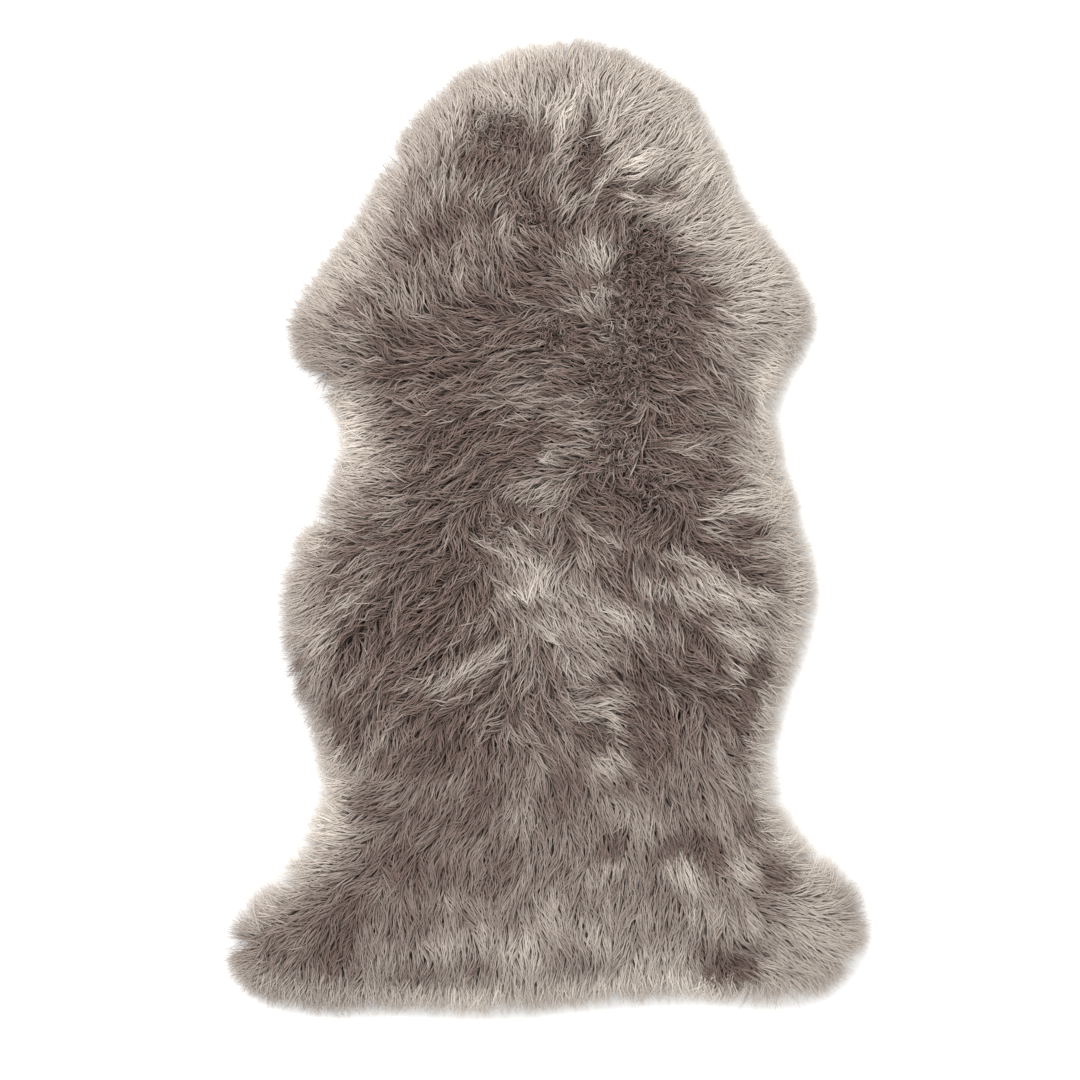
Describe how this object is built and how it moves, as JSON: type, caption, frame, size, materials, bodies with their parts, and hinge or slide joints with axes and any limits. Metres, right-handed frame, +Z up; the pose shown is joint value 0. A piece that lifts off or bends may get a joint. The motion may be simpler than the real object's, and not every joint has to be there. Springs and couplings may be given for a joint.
{
  "type": "sheepskin rug",
  "caption": "Sheepskin rug lying flat: a suede hide cut to the animal's outline, with long wavy taupe wool that turns pale at its tips and rim.",
  "frame": {"origin": "on the surface that the rug lies on, under the middle of its outline", "axes": "+Z up, +Y towards the neck, -Y towards the tail and hind legs, +X to the right seen from above"},
  "size_m": [0.6346, 0.9726, 0.051],
  "materials": {
    "hide": "matt suede",
    "fleece": "long wavy wool, dark taupe below and pale beige at the tips"
  },
  "bodies": {
    "root": {"hide": "hide", "fleece": "fleece"}
  },
  "joints": []
}
